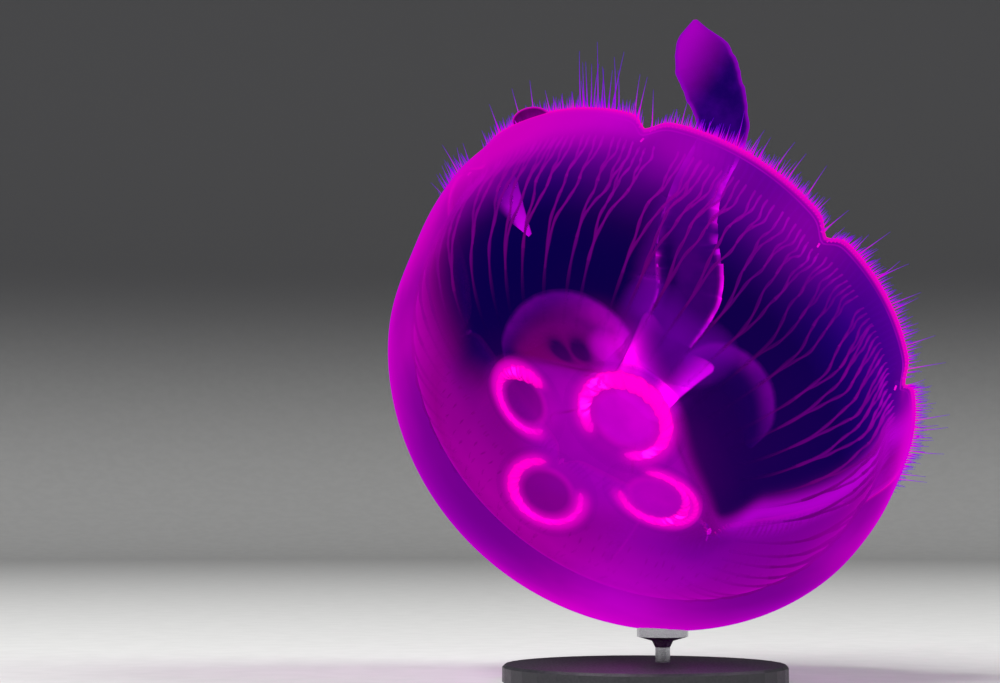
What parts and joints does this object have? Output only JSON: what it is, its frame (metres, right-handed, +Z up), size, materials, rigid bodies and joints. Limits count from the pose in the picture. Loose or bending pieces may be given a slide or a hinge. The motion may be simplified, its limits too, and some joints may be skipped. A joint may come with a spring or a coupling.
{
  "type": "moon jellyfish model",
  "caption": "Still life-size moon jellyfish: domed bell with a fringed, lobed margin, horseshoe gonads, mouth tube and ribbon arms, tipped over on a disc stand.",
  "frame": {"origin": "centre of the underside of the stand's base disc, on the surface the model stands on", "axes": "+Z up from the stand; -Y towards the viewer who sees the bell from outside; +X to that viewer's right. The bell's top points down to the left and towards that viewer, its mouth up to the right and away."},
  "size_m": [0.2585, 0.2375, 0.3085],
  "materials": {
    "bell_tissue": "clear wet jelly, violet, thick zones magenta",
    "margin_tissue": "clear wet jelly, bright magenta edge with a fine fringe",
    "gonad_tissue": "frilled and wet, hot pink",
    "stomach_tissue": "clear wet jelly, violet pink",
    "arm_tissue": "thin wet frilled ribbon, blue violet",
    "sense_organ_tissue": "smooth and wet, pale pink",
    "stand_base_paint": "satin charcoal paint",
    "stand_steel": "satin"
  },
  "bodies": {
    "root": {"bell_dome": "bell_tissue", "margin_lobe_1": "margin_tissue", "margin_lobe_2": "margin_tissue", "margin_lobe_3": "margin_tissue", "margin_lobe_4": "margin_tissue", "margin_lobe_5": "margin_tissue", "margin_lobe_6": "margin_tissue", "margin_lobe_7": "margin_tissue", "margin_lobe_8": "margin_tissue", "sense_organ_1": "sense_organ_tissue", "sense_organ_2": "sense_organ_tissue", "sense_organ_3": "sense_organ_tissue", "sense_organ_4": "sense_organ_tissue", "sense_organ_5": "sense_organ_tissue", "sense_organ_6": "sense_organ_tissue", "sense_organ_7": "sense_organ_tissue", "sense_organ_8": "sense_organ_tissue", "folded_lappet": "margin_tissue", "gonad_1": "gonad_tissue", "gonad_2": "gonad_tissue", "gonad_3": "gonad_tissue", "gonad_4": "gonad_tissue", "stomach": "stomach_tissue", "manubrium": "stomach_tissue", "arm_1_base": "arm_tissue", "arm_1_middle": "arm_tissue", "arm_1_flap": "arm_tissue", "arm_2_base": "arm_tissue", "arm_2_tip": "arm_tissue", "arm_3_base": "arm_tissue", "arm_3_tip": "arm_tissue", "arm_4_base": "arm_tissue", "arm_4_tip": "arm_tissue", "stand_base": "stand_base_paint", "stand_rod": "stand_steel"}
  },
  "joints": []
}
